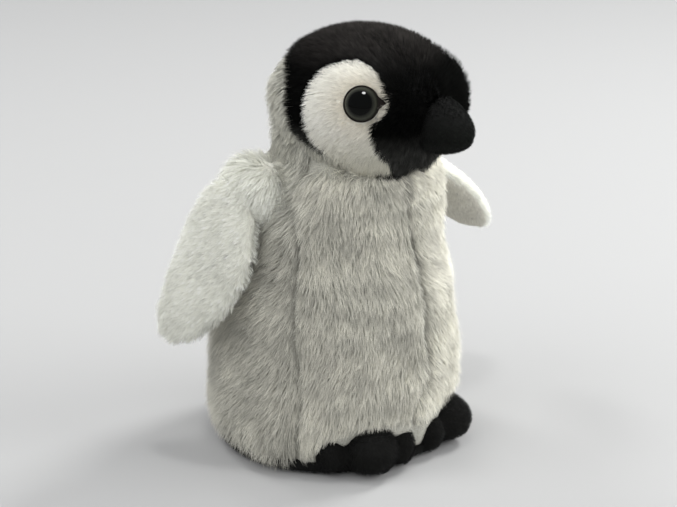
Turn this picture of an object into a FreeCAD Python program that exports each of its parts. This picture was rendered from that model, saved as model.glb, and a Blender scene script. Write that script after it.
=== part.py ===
import FreeCAD, Part
import math
import os
from FreeCAD import Vector as V, Rotation, Placement, Matrix

# Standing plush penguin chick.  Millimetres, +Z up, the chick looks along -Y.
# X = 0 is the middle plane of the body, Z = 0 is the floor it stands on and
# the origin is the middle of the flat base.  "Left" is the chick's own left (+X).
os.makedirs("parts", exist_ok=True)

# ---------------------------------------------------------------- dimensions
PILE_BODY = 4.0        # long-pile fabric of the body, backing and flattened pile
PILE_HEAD = 3.5        # dense pile of the hood, cheeks and nape
PILE_FLIPPER = 2.2     # short pile of the flippers
PILE_FOOT = 1.6        # velour of the feet and the beak

# torso outline: height, mean radius, how far the middle leans forward
TORSO_RINGS = [
    (0, 51.0, 0.0), (3, 56.5, 0.0), (9, 60.0, 0.0), (20, 61.5, 0.0), (40, 61.5, 0.0),
    (60, 60.5, 0.0), (75, 58.0, 0.5), (91, 54.0, 2.0), (108, 50.0, 5.0), (123, 47.5, 8.0),
    (136, 43.5, 11.0), (143, 39.5, 13.0), (146, 36.0, 14.0),
]
TORSO_WIDTH, TORSO_DEPTH = 1.02, 0.98      # the torso is a touch wider than deep
BASE_RIM = 6.0                             # height of the dark base panel's rim
SIDE_SEAM = 70.0                           # side seams, degrees round from the front

PELLET_BAG = (36.0, 27.0, 10.0)            # half axes of the weighted bag in the base
PELLET_BAG_AT = V(0, 17.0, 17.0)
PELLET_BAG_SKIN = 0.8

# feet: three round toe lobes each, set on an arc round the front of the body
# angle from the front, radius, half width, half height
TOES = [(11.5, 48.5, 9.0, 11.0), (29.0, 50.0, 14.0, 13.0), (49.0, 47.0, 10.4, 12.0)]
TOE_LENGTH = 1.35                          # half length of a toe, in half widths
FOOT_PAD = (29.0, 38.0, 16.5, 18.0, 10.5)  # angle, radius, half width, half length, half height
FOOT_FLAT = 0.9                            # how much the floor flattens the lobes
SOLE = 1.6
FOOT_GAP = 0.3                             # pile left between a foot and the body panels

# head
HEAD_AT = V(0, -21.5, 174.3)
HEAD = (42.5, 49.5, 34.5)                  # half width, half length, half height
NECK_CUT = 146.5                           # underside of the head, just clear of the torso top
NECK_PIVOT_Y = -14.0
CHEEK_AT = (68.0, -3.0)                    # middle of the cheek patch: degrees from front, height
CHEEK = (29.0, 27.0)                       # half length and half height of the patch
CHEEK_TIP = 14.0                           # how far its front point runs on towards the beak
CHEEK_INNER = 7.0                          # the patch stops this far from the middle, under the chin
NAPE_SLOPE = 22.0                          # lean of the seam between hood and nape
NAPE_Y = 12.0                              # where that seam crosses mid height, behind the head's middle
CHIN_DROP = -17.0                          # height of the seam under the beak, from the head's middle

BEAK_RINGS = [(-38, 14.0, 15.0, -4.0), (-47, 12.6, 13.4, -4.2), (-53.5, 10.0, 10.8, -4.8),
              (-58.5, 6.8, 7.4, -5.4), (-61.5, 3.4, 3.6, -5.8)]   # y, half width, half height, z
BEAK_LINE = -9.0                           # the beak's mouth line at its root, from the head's middle

# eyes
EYE_AT = (57.0, 10.0)                      # degrees from the front, height above the head's middle
EYE_R, EYE_DOME = 7.8, 4.4
EYE_SEAT = 2.8                             # how deep the seat is pressed into the pile
EYE_RIM, EYE_RIM_T, EYE_CORNER = 8.4, 0.7, 3.0
SHANK_R, SHANK_END = 2.0, 11.0
WASHER_R, WASHER_T = 7.0, 1.4

# flippers: distance from the root, half width, half thickness
FLIPPER_RINGS = [(-8, 6.0, 2.2), (-5, 10.5, 4.6), (0, 14.5, 6.4), (12, 20.0, 7.2), (28, 22.8, 7.4),
                 (46, 21.5, 6.8), (62, 17.6, 5.8), (74, 12.2, 4.4), (80, 6.0, 2.2)]
FLIPPER_CURVE = 5.0                        # the blade bows backwards by this much
# root position and pose of each flipper: sweep back, lift away from the body
FLIPPERS = {
    "right": {"root": V(-54.0, 13.0, 132.0), "sweep": 18.0, "lift": 15.0},
    "left": {"root": V(54.5, 9.0, 129.0), "sweep": -8.0, "lift": 48.0},
}


# ---------------------------------------------------------------- helpers
def ring(x, y, z, a, b, normal=V(0, 0, 1)):
    """Elliptical wire: half axis a along X, half axis b across it."""
    if normal.z > 0.5:
        x_axis, y_axis = V(1, 0, 0), V(0, 1, 0)
    else:
        x_axis, y_axis = V(1, 0, 0), V(0, 0, 1)
    centre = V(x, y, z)
    if a >= b:
        curve = Part.Ellipse(centre + x_axis * a, centre + y_axis * b, centre)
    else:
        curve = Part.Ellipse(centre + y_axis * b, centre - x_axis * a, centre)
    return Part.Wire([curve.toShape()])


def loft(wires):
    return Part.makeLoft(wires, True, False)


def ellipsoid(centre, half):
    ball = Part.makeSphere(1.0)
    m = Matrix()
    m.scale(half[0], half[1], half[2])
    ball = ball.transformGeometry(m)
    ball.translate(centre)
    return ball


def slab(x0, x1, y0, y1, z0, z1):
    return Part.makeBox(x1 - x0, y1 - y0, z1 - z0, V(x0, y0, z0))


def front_wedge(angle, r=200.0, z0=-5.0, z1=260.0, y=0.0):
    """Everything within 'angle' degrees of straight ahead, about the vertical through y."""
    steps = max(2, int(angle // 30) + 1)
    points = [V(0, y, z0)]
    for i in range(2 * steps + 1):
        a = math.radians(-angle + i * angle / steps)
        points.append(V(r * math.sin(a), y - r * math.cos(a), z0))
    points.append(V(0, y, z0))
    return Part.Face(Part.makePolygon(points)).extrude(V(0, 0, z1 - z0))


def mirrored(shape):
    return shape.mirror(V(0, 0, 0), V(1, 0, 0))


def solid(shape):
    """The one solid of a boolean result (slivers dropped)."""
    best = max(shape.Solids, key=lambda s: s.Volume)
    try:
        merged = best.removeSplitter()
    except Part.OCCError:
        return best
    return merged if merged.isValid() else best


def save(name, shape):
    s = solid(shape)
    if not s.isValid():
        s.fix(0.001, 0.001, 0.01)
    s.exportStep("parts/" + name + ".step")
    box = s.BoundBox
    print("%-24s %9.1f mm3  X %6.1f %6.1f  Y %6.1f %6.1f  Z %6.1f %6.1f" % (
        name, s.Volume, box.XMin, box.XMax, box.YMin, box.YMax, box.ZMin, box.ZMax))
    return s


HALF = {"left": slab(0, 200, -200, 200, -5, 260), "right": slab(-200, 0, -200, 200, -5, 260)}

# ---------------------------------------------------------------- feet
def lobes(grow, tall=1.0):
    """The left foot's pad and toes as one solid: grow is added to every half axis,
    tall stretches the lobes downwards from their tops."""
    shape = None
    rows = [FOOT_PAD] + [(angle, r, w, w * TOE_LENGTH, h) for angle, r, w, h in TOES]
    for angle, r, w, l, h in rows:
        lobe = ellipsoid(V(0, 0, 0), (w + grow, l + grow, tall * h + grow))
        lobe.rotate(V(0, 0, 0), V(0, 0, 1), angle)
        a = math.radians(angle)
        lobe.translate(V(r * math.sin(a), -r * math.cos(a), (2 - tall) * h - FOOT_FLAT))
        shape = lobe if shape is None else shape.fuse(lobe)
    return shape


foot = lobes(0.0).common(slab(-100, 100, -100, 100, 0, 60))
foot_core = lobes(-PILE_FOOT).common(slab(-100, 100, -100, 100, SOLE, 60))
foot_shell = foot.cut(foot_core)
foot_upper = foot_shell.common(slab(-100, 100, -100, 100, SOLE, 60))
foot_sole = foot_shell.common(slab(-100, 100, -100, 100, -1, SOLE))
# room for the foot under the body, open at the floor, and the fabric that lines it
foot_room = lobes(FOOT_GAP + 0.7, tall=1.3)
foot_lining = lobes(FOOT_GAP + 0.7 + PILE_BODY * 0.6, tall=1.3)

# ---------------------------------------------------------------- torso
def torso_loft(inset, z_low, z_high):
    wires = []
    last = len(TORSO_RINGS) - 1
    for i, (z, r, lean) in enumerate(TORSO_RINGS):
        at = min(max(z, z_low), z_high)
        if at != z and 0 < i < last:
            continue
        wires.append(ring(0, -lean, at, (r - inset) * TORSO_WIDTH, (r - inset) * TORSO_DEPTH))
    return loft(wires)


torso = torso_loft(0.0, 0, 146)
torso_core = torso_loft(PILE_BODY, PILE_BODY * 0.6, 146 - PILE_BODY)
feet_room = foot_room.fuse(mirrored(foot_room))
torso = torso.cut(feet_room)
# the fabric turns in over the feet, so the core keeps its distance from them
torso_core = torso_core.cut(foot_lining.fuse(mirrored(foot_lining)))
torso_shell = torso.cut(torso_core)

above = slab(-200, 200, -200, 200, BASE_RIM, 260)
below = slab(-200, 200, -200, 200, -5, BASE_RIM)
front = front_wedge(SIDE_SEAM)
body_cloth = torso_shell.common(above)
save("base_panel", torso_shell.common(below))
for side in ("left", "right"):
    half = body_cloth.common(HALF[side])
    own_foot = foot if side == "left" else mirrored(foot)
    save("front_panel_" + side, half.common(front).cut(own_foot))
    save("back_panel_" + side, half.cut(front))

bag = ellipsoid(PELLET_BAG_AT, PELLET_BAG)
pellets = ellipsoid(PELLET_BAG_AT, [h - PELLET_BAG_SKIN for h in PELLET_BAG])
bag_room = ellipsoid(PELLET_BAG_AT, [h + 0.1 for h in PELLET_BAG])
save("pellet_bag", bag.cut(pellets))
save("pellets", pellets)
save("torso_stuffing", torso_core.cut(bag_room))

for side, place in (("left", lambda s: s), ("right", mirrored)):
    save("foot_upper_" + side, place(foot_upper))
    save("foot_sole_" + side, place(foot_sole))
    save("foot_stuffing_" + side, place(foot_core))

# ---------------------------------------------------------------- head
head = ellipsoid(HEAD_AT, HEAD)
head = head.common(slab(-200, 200, -200, 200, NECK_CUT, 300))
head_core = ellipsoid(HEAD_AT, [h - PILE_HEAD for h in HEAD])
head_core = head_core.common(slab(-200, 200, -200, 200, NECK_CUT + 2.5, 300))
head_shell = head.cut(head_core)


def head_frame(degrees, dz):
    """Point on the left of the head's surface and the outward normal there."""
    s = dz / HEAD[2]
    k = math.sqrt(1 - s * s)
    a = math.radians(degrees)
    local = V(HEAD[0] * k * math.sin(a), -HEAD[1] * k * math.cos(a), dz)
    normal = V(local.x / HEAD[0] ** 2, local.y / HEAD[1] ** 2, local.z / HEAD[2] ** 2)
    normal.normalize()
    return HEAD_AT + local, normal


def on_head(point, normal):
    """Placement with local Z along the normal, local X towards the beak and level."""
    forward = normal.cross(V(0, 0, 1))
    if forward.y > 0:
        forward = forward * -1
    forward.normalize()
    up = normal.cross(forward)
    return Placement(point, Rotation(forward, up, normal, "ZXY"))


# cheek patch: an oval with a point running forward over the eye corner
point, normal = head_frame(*CHEEK_AT)
seat = on_head(point, V(normal.x, normal.y, 0).normalize())
oval = Part.Face(ring(0, 0, -30, CHEEK[0], CHEEK[1]))
tip = Part.Face(Part.makePolygon([
    V(CHEEK[0] * 0.55, 24, -30), V(CHEEK[0] + CHEEK_TIP, 9, -30), V(CHEEK[0] * 0.7, -14, -30),
    V(CHEEK[0] * 0.55, 24, -30)]))
cheek_cutter = oval.extrude(V(0, 0, 60)).fuse(tip.extrude(V(0, 0, 60)))
cheek_cutter.Placement = seat
cheek_cutter = cheek_cutter.common(slab(CHEEK_INNER, 100, -200, 200, 0, 300))

# nape: everything behind a plane that leans back with height
nape_cutter = slab(-100, 100, 0, 100, -100, 100)
nape_cutter.rotate(V(0, 0, 0), V(1, 0, 0), -NAPE_SLOPE)
nape_cutter.translate(HEAD_AT + V(0, NAPE_Y, 0))
chin_cutter = slab(-100, 100, -100, 8, -60, CHIN_DROP)
chin_cutter.translate(HEAD_AT)

# eyes
eye_point, eye_normal = head_frame(*EYE_AT)
eye_frame = on_head(eye_point, eye_normal)
dome_r = (EYE_R ** 2 + EYE_DOME ** 2) / (2 * EYE_DOME)
seat_z = -EYE_SEAT
rim_top = seat_z + EYE_RIM_T
dome = Part.makeSphere(dome_r, V(0, 0, rim_top + EYE_DOME - dome_r))
dome = dome.common(slab(-20, 20, -20, 20, rim_top, 30))
shank = Part.makeCylinder(SHANK_R, rim_top + SHANK_END, V(0, 0, -SHANK_END))
eye = dome.fuse(shank)
rim_disc = Part.makeCylinder(EYE_RIM, EYE_RIM_T, V(0, 0, seat_z))
corner = Part.Face(Part.makePolygon([
    V(2, 7.2, seat_z), V(EYE_RIM + EYE_CORNER, -1.0, seat_z), V(2, -7.8, seat_z), V(2, 7.2, seat_z)]))
shank_hole = Part.makeCylinder(SHANK_R + 0.05, 40, V(0, 0, -20))
rim = rim_disc.fuse(corner.extrude(V(0, 0, EYE_RIM_T))).cut(shank_hole)
washer_top = -PILE_HEAD - 0.9
washer = Part.makeCylinder(WASHER_R, WASHER_T, V(0, 0, washer_top - WASHER_T))
washer = washer.cut(shank_hole)
eye_room = Part.makeCylinder(SHANK_R + 0.1, 40, V(0, 0, -SHANK_END - 0.1))
rim_room = Part.makeCylinder(EYE_RIM + EYE_CORNER + 0.8, 20, V(0, 0, seat_z))
washer_room = Part.makeCylinder(WASHER_R + 0.1, 30, V(0, 0, washer_top - WASHER_T - 0.1))
for tool in (eye, rim, washer, eye_room, rim_room, washer_room):
    tool.Placement = eye_frame

eyes_room = eye_room.fuse(mirrored(eye_room))
head_shell = head_shell.cut(rim_room).cut(mirrored(rim_room)).cut(eyes_room)
head_core = head_core.cut(washer_room).cut(mirrored(washer_room)).cut(eyes_room)

cheek_zone = cheek_cutter.fuse(mirrored(cheek_cutter))
for side, place in (("left", lambda s: s), ("right", mirrored)):
    save("cheek_patch_" + side, head_shell.common(place(cheek_cutter)))
    save("nape_panel_" + side, head_shell.cut(cheek_zone).common(nape_cutter).common(HALF[side]))
    save("eye_" + side, place(eye))
    save("eye_rim_" + side, place(rim))
    save("eye_washer_" + side, place(washer))
rest = head_shell.cut(cheek_zone).cut(nape_cutter)
save("chin_panel", rest.common(chin_cutter))
save("hood_panel", rest.cut(chin_cutter))
save("head_stuffing", head_core)

# ---------------------------------------------------------------- beak
def beak_loft(inset):
    wires = []
    for y, a, b, z in BEAK_RINGS:
        if y == BEAK_RINGS[-1][0]:
            y += inset
        half_w, half_h = max(a - inset, 1.0), max(b - inset, 1.1)
        wires.append(ring(0, HEAD_AT.y + y, HEAD_AT.z + z, half_w, half_h, V(0, 1, 0)))
    return loft(wires)


head_whole = ellipsoid(HEAD_AT, HEAD)
beak = beak_loft(0.0).cut(head_whole)
beak_core = beak_loft(PILE_FOOT).cut(ellipsoid(HEAD_AT, [h + 0.05 for h in HEAD]))
mouth = slab(-30, 30, -90, 0, 0, 40)
mouth.rotate(V(0, 0, 0), V(1, 0, 0), 4)
mouth.translate(HEAD_AT + V(0, -44, BEAK_LINE + 0.5))
beak_shell = beak.cut(beak_core)
save("beak_upper", beak_shell.common(mouth))
save("beak_lower", beak_shell.cut(mouth))
save("beak_stuffing", beak_core)

# ---------------------------------------------------------------- flippers
def blade(inset):
    """A flipper hanging straight down from its root: width along Y, thickness along X."""
    wires = []
    first, last = FLIPPER_RINGS[0][0], FLIPPER_RINGS[-1][0]
    for u, w, t in FLIPPER_RINGS:
        bow = FLIPPER_CURVE * math.sin(math.pi * max(u, 0) / last) - FLIPPER_CURVE * 0.5 * max(u, 0) / last
        at = u + inset if u == first else (u - inset if u == last else u)
        wires.append(ring(0, -bow, -at, max(t - inset, 0.8), max(w - inset, 1.6)))
    return loft(wires)


flipper = blade(0.0)
flipper_core = blade(PILE_FLIPPER)
flipper_shell = flipper.cut(flipper_core)
for side, sign in (("left", 1), ("right", -1)):
    pose = FLIPPERS[side]
    sweep = Rotation(V(1, 0, 0), pose["sweep"])
    hinge = sweep.multVec(V(0, 1, 0))
    lift = Rotation(hinge, -sign * pose["lift"])
    place = Placement(pose["root"], lift.multiply(sweep))
    outer_side = slab(0, 60, -60, 60, -120, 60) if sign > 0 else slab(-60, 0, -60, 60, -120, 60)
    pieces = {
        "flipper_outer_": flipper_shell.common(outer_side),
        "flipper_inner_": flipper_shell.cut(outer_side),
        "flipper_stuffing_": flipper_core,
    }
    print("hinge", side, "at", pose["root"], "along", hinge)
    for name, shape in pieces.items():
        moved = shape.copy()
        moved.Placement = place
        save(name + side, moved)
    # clearance of the blade at rest
    whole = flipper.copy()
    whole.Placement = place
    gaps = whole.distToShape(torso)[0], whole.distToShape(head)[0]
    print("  clearance to torso %.2f, to head %.2f" % gaps)
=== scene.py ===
import math

import bpy
import numpy as np
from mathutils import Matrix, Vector
from mathutils.kdtree import KDTree


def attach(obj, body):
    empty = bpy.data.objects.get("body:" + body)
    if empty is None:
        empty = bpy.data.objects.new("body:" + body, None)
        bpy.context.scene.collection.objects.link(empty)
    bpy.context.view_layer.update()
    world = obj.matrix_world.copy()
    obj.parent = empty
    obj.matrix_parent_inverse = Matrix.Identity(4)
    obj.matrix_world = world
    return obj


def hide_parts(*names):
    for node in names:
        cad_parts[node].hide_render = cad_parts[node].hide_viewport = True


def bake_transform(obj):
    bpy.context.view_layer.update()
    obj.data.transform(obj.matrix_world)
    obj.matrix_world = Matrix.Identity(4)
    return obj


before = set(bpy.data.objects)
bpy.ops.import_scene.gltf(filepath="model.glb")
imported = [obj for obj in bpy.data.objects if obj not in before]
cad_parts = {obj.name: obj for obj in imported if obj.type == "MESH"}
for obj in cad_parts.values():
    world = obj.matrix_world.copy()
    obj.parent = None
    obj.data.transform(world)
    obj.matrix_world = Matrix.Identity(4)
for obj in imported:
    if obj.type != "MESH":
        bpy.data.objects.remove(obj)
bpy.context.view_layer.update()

MM = 0.001
SHARE = 1.0


# ------------------------------------------------------------------ small maths
def smooth(x, xs, ys):
    """Monotone cubic through the points (xs, ys)."""
    xs, ys = np.asarray(xs, float), np.asarray(ys, float)
    d = np.diff(ys) / np.diff(xs)
    inner = np.where(d[1:] * d[:-1] > 0, 2 * d[1:] * d[:-1] / (d[1:] + d[:-1] + 1e-12), 0)
    m = np.concatenate([[d[0]], inner, [d[-1]]])
    x = np.clip(x, xs[0], xs[-1])
    i = np.clip(np.searchsorted(xs, x) - 1, 0, len(xs) - 2)
    h = xs[i + 1] - xs[i]
    t = (x - xs[i]) / h
    return ((2 * t ** 3 - 3 * t ** 2 + 1) * ys[i] + (t ** 3 - 2 * t ** 2 + t) * h * m[i]
            + (-2 * t ** 3 + 3 * t ** 2) * ys[i + 1] + (t ** 3 - t ** 2) * h * m[i + 1])


def unit(v):
    return v / (np.linalg.norm(v, axis=-1, keepdims=True) + 1e-9)


def turn(axis, degrees):
    a, k = math.radians(degrees), np.array(axis, float)
    k = k / np.linalg.norm(k)
    K = np.array([[0, -k[2], k[1]], [k[2], 0, -k[0]], [-k[1], k[0], 0]])
    return np.eye(3) + math.sin(a) * K + (1 - math.cos(a)) * K @ K


def waves(p, scale, seed):
    """Smooth pseudo-random field in -1..1, from a few crossed sines."""
    r = np.random.default_rng(seed)
    out = np.zeros(len(p))
    for _ in range(7):
        k = r.normal(size=3) / scale
        out += np.sin(p @ k + r.uniform(0, 6.28))
    return out / 3.2


# ------------------------------------------------------------------ mesh helpers
def new_object(name, mesh):
    o = bpy.data.objects.new(name, mesh)
    bpy.context.scene.collection.objects.link(o)
    return o


def grid_mesh(name, P):
    """Mesh of a tube of rings P[i, j] in mm, wrapped in j, with fan caps."""
    n, m = P.shape[:2]
    verts = P.reshape(-1, 3).tolist()
    faces = [(i * m + j, i * m + (j + 1) % m, (i + 1) * m + (j + 1) % m, (i + 1) * m + j)
             for i in range(n - 1) for j in range(m)]
    for ring, flip in ((0, True), (n - 1, False)):
        verts.append(P[ring].mean(0).tolist())
        c = len(verts) - 1
        for j in range(m):
            a, b = ring * m + j, ring * m + (j + 1) % m
            faces.append((c, b, a) if flip else (c, a, b))
    me = bpy.data.meshes.new(name)
    me.from_pydata([[x * MM for x in v] for v in verts], [], faces)
    me.update()
    return new_object(name, me)


def apply_modifiers(o):
    dg = bpy.context.evaluated_depsgraph_get()
    me = bpy.data.meshes.new_from_object(o.evaluated_get(dg))
    o.modifiers.clear()
    old = o.data
    o.data = me
    bpy.data.meshes.remove(old)


def coords(o):
    a = np.empty(len(o.data.vertices) * 3)
    o.data.vertices.foreach_get("co", a)
    return a.reshape(-1, 3) / MM


def set_coords(o, p):
    o.data.vertices.foreach_set("co", (p * MM).ravel())
    o.data.update()


def vertex_normals(o):
    a = np.empty(len(o.data.vertices) * 3)
    o.data.vertices.foreach_get("normal", a)
    return a.reshape(-1, 3)


INFLATE_FRAMES = 20


def stuffed(o, voxel, cap, pressure=4.0, keep_below=None):
    """Fill a sewn bag: remesh, blow it up as cloth, cap the swelling, subdivide once."""
    mod = o.modifiers.new("remesh", "REMESH")
    mod.mode, mod.voxel_size = "VOXEL", voxel * MM
    apply_modifiers(o)
    start = coords(o)
    cloth = o.modifiers.new("cloth", "CLOTH")
    s = cloth.settings
    s.quality = 4
    s.mass = 0.25
    s.tension_stiffness = s.compression_stiffness = 18
    s.bending_stiffness = 1.5
    s.use_pressure = True
    s.uniform_pressure_force = pressure
    s.effector_weights.gravity = 0
    cloth.collision_settings.use_collision = False
    scene = bpy.context.scene
    for f in range(1, INFLATE_FRAMES + 1):
        scene.frame_set(f)
    apply_modifiers(o)
    scene.frame_set(1)
    now = coords(o)
    move = now - start
    far = np.linalg.norm(move, axis=1, keepdims=True)
    move *= np.minimum(1, cap / np.maximum(far, 1e-6))
    if keep_below is not None:        # the bottom stays flat on the floor
        low = start[:, 2] < keep_below
        move[low, 2] = 0
    set_coords(o, start + move)
    sub = o.modifiers.new("sub", "SUBSURF")
    sub.levels = sub.render_levels = 1
    apply_modifiers(o)
    for p in o.data.polygons:
        p.use_smooth = True
    return o


class Skin:
    """The triangles of a mesh, to scatter strands over."""

    def __init__(self, o):
        me = o.data
        me.calc_loop_triangles()
        self.p = coords(o)
        self.n = vertex_normals(o)
        t = np.empty(len(me.loop_triangles) * 3, dtype=np.int32)
        me.loop_triangles.foreach_get("vertices", t)
        self.t = t.reshape(-1, 3)
        a, b, c = (self.p[self.t[:, i]] for i in range(3))
        self.area = 0.5 * np.linalg.norm(np.cross(b - a, c - a), axis=1)

    def scatter(self, per_mm2, seed):
        r = np.random.default_rng(seed)
        n = int(self.area.sum() * per_mm2 * SHARE)
        which = np.searchsorted(np.cumsum(self.area), r.uniform(0, self.area.sum(), n))
        which = np.clip(which, 0, len(self.t) - 1)
        u, v = r.uniform(size=n), r.uniform(size=n)
        flip = u + v > 1
        u[flip], v[flip] = 1 - u[flip], 1 - v[flip]
        w = np.stack([1 - u - v, u, v], 1)[:, :, None]
        p = (self.p[self.t[which]] * w).sum(1)
        nrm = unit((self.n[self.t[which]] * w).sum(1))
        return p, nrm


# ------------------------------------------------------------------ strands
ROLL = 35.0             # degrees a ribbon may be turned about its own length, either way
BEND = 0.6              # how far a strand curls over towards its tip
SINK = 0.6              # mm of each strand below the skin
FLOOR_GAP = 0.4         # mm: nothing reaches through the floor
TAPER_3 = np.array([1.0, 0.95, 0.7, 0.0])


def grow(name, p, nrm, comb, length, width, lift, seed, colour, clump, clump_size=16,
         wave=0.5, segments=3):
    """One mesh of tapered strands.  p, nrm: roots; comb: direction each strand is brushed;
    length, lift (degrees off the skin): numbers or one per root;
    colour(p, t, shade, clump) gives the tint at t along the strand, 0 root to 1 tip."""
    r = np.random.default_rng(seed)
    n = len(p)
    comb = unit(comb - (comb * nrm).sum(1, keepdims=True) * nrm)
    side = np.cross(nrm, comb)
    L = np.broadcast_to(length, n) * r.uniform(0.78, 1.12, n)
    a = np.radians(np.broadcast_to(lift, n) + r.normal(0, 7, n))
    yaw = np.radians(r.normal(0, 9, n))
    d = unit(comb * np.cos(yaw)[:, None] + side * np.sin(yaw)[:, None])
    ts = np.linspace(0, 1, segments + 1)
    up = np.sin(a) * L
    along = np.cos(a) * L
    rows = []
    phase = r.uniform(0, 6.28, n)
    amp = wave * r.uniform(0.3, 1, n)
    for t in ts:
        h = up * (t * (1 + BEND) - BEND * t * t) - SINK * (1 - t)
        s = along * (t * (1 - 0.35 * BEND) + 0.35 * BEND * t * t)
        w = amp * np.sin(phase + 3.2 * t) * t
        rows.append(p + nrm * h[:, None] + d * s[:, None] + side * w[:, None])
    C = np.stack(rows, 1)                                    # n, segments+1, 3
    # clumps: strands near a leader lean towards its tip
    lead = r.choice(n, max(1, n // clump_size), replace=False)
    tree = KDTree(len(lead))
    for i, k in enumerate(lead):
        tree.insert(C[k, 1], i)
    tree.balance()
    own = np.array([tree.find(q)[1] for q in C[:, 1].tolist()])
    k = lead[own]
    pull = clump * r.uniform(0.35, 1.0, n)
    for i, t in enumerate(ts):
        C[:, i] += (C[k, i] - C[:, i]) * (pull * t ** 1.5)[:, None]
    C[:, :, 2] = np.maximum(C[:, :, 2], FLOOR_GAP)
    # ribbons
    T = unit(np.gradient(C, axis=1))
    W = unit(np.cross(T, nrm[:, None, :]))
    F = np.cross(W, T)
    ro = np.radians(r.uniform(-ROLL, ROLL, n))[:, None, None]
    W = W * np.cos(ro) + F * np.sin(ro)
    taper = TAPER_3 if segments == 3 else np.linspace(1, 0, segments + 1) ** 0.6
    half = 0.5 * np.broadcast_to(width, n) * r.uniform(0.7, 1.2, n)
    V, N, t_of = [], [], []
    soft = unit(nrm[:, None, :] * 0.9 + T * 0.15 + np.cross(W, T) * 0.35)
    for i in range(segments):
        w = W[:, i] * (half * taper[i])[:, None]
        V += [C[:, i] - w, C[:, i] + w]
        N += [soft[:, i], soft[:, i]]
        t_of += [ts[i], ts[i]]
    V.append(C[:, -1])
    N.append(soft[:, -1])
    t_of.append(1.0)
    per = len(V)
    V = np.stack(V, 1)
    N = np.stack(N, 1)
    base = (np.arange(n) * per)[:, None]
    quads = [[2 * i, 2 * i + 1, 2 * i + 3, 2 * i + 2] for i in range(segments - 1)]
    pattern = sum(quads, []) + [2 * segments - 2, 2 * segments - 1, 2 * segments]
    loops = (base + np.array(pattern)[None]).ravel()
    starts = (np.arange(n) * len(pattern))[:, None] + 4 * np.arange(segments)[None]
    me = bpy.data.meshes.new(name)
    me.vertices.add(n * per)
    me.loops.add(len(loops))
    me.polygons.add(n * segments)
    me.vertices.foreach_set("co", (V * MM).ravel())
    me.loops.foreach_set("vertex_index", loops.astype(np.int32))
    me.polygons.foreach_set("loop_start", starts.ravel().astype(np.int32))
    me.update(calc_edges=True)
    tint = np.ones((n, per, 4))
    shade = r.normal(0, 1, n)
    clump_shade = r.normal(0, 1, len(lead))[own]
    for j, t in enumerate(t_of):
        tint[:, j, :3] = colour(p, t, shade, clump_shade)
    att = me.attributes.new("tint", "FLOAT_COLOR", "POINT")
    att.data.foreach_set("color", np.clip(tint, 0.001, 1).ravel())
    # own texture space: one small cell per strand
    side_cells = int(math.ceil(math.sqrt(n)))
    cell = 1.0 / side_cells
    cx, cy = (np.arange(n) % side_cells) * cell, (np.arange(n) // side_cells) * cell
    uv = np.zeros((n, per, 2))
    for j, t in enumerate(t_of):
        across = 0.5 if j == per - 1 else (0.1 if j % 2 == 0 else 0.9)
        uv[:, j, 0] = cx + cell * across
        uv[:, j, 1] = cy + cell * (0.08 + 0.84 * t)
    layer = me.uv_layers.new(name="OFBake")
    layer.data.foreach_set("uv", uv.reshape(-1, 2)[loops].ravel())
    me.polygons.foreach_set("use_smooth", np.ones(n * segments, dtype=bool))
    me.normals_split_custom_set_from_vertices(N.reshape(-1, 3).tolist())
    return new_object(name, me)


# ------------------------------------------------------------------ materials
def nodes_of(name):
    m = bpy.data.materials.new(name)
    m.use_nodes = True
    nt = m.node_tree
    return m, nt, nt.nodes["Principled BSDF"], nt.nodes["Material Output"]


def fur_material(name, rough, sheen, through, vary, shine, scale=900.0):
    """Pile: the strand's own tint with a fine mottle, and some light let through."""
    m, nt, bsdf, out = nodes_of(name)
    att = nt.nodes.new("ShaderNodeAttribute")
    att.attribute_name = "tint"
    tex = nt.nodes.new("ShaderNodeTexCoord")
    noise = nt.nodes.new("ShaderNodeTexNoise")
    noise.inputs["Scale"].default_value = scale
    noise.inputs["Detail"].default_value = 3.0
    ramp = nt.nodes.new("ShaderNodeMapRange")
    ramp.inputs["To Min"].default_value = 1.0 - vary
    ramp.inputs["To Max"].default_value = 1.0 + vary
    mul = nt.nodes.new("ShaderNodeVectorMath")
    mul.operation = "SCALE"
    nt.links.new(tex.outputs["Object"], noise.inputs["Vector"])
    nt.links.new(noise.outputs["Fac"], ramp.inputs["Value"])
    nt.links.new(att.outputs["Color"], mul.inputs[0])
    nt.links.new(ramp.outputs["Result"], mul.inputs["Scale"])
    nt.links.new(mul.outputs["Vector"], bsdf.inputs["Base Color"])
    bsdf.inputs["Roughness"].default_value = rough
    bsdf.inputs["Specular IOR Level"].default_value = shine
    bsdf.inputs["Sheen Weight"].default_value = sheen
    bsdf.inputs["Sheen Roughness"].default_value = 0.5
    if through > 0:
        trans = nt.nodes.new("ShaderNodeBsdfTranslucent")
        mix = nt.nodes.new("ShaderNodeMixShader")
        mix.inputs["Fac"].default_value = through
        nt.links.new(mul.outputs["Vector"], trans.inputs["Color"])
        nt.links.new(bsdf.outputs["BSDF"], mix.inputs[1])
        nt.links.new(trans.outputs["BSDF"], mix.inputs[2])
        nt.links.new(mix.outputs["Shader"], out.inputs["Surface"])
    return m


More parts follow.
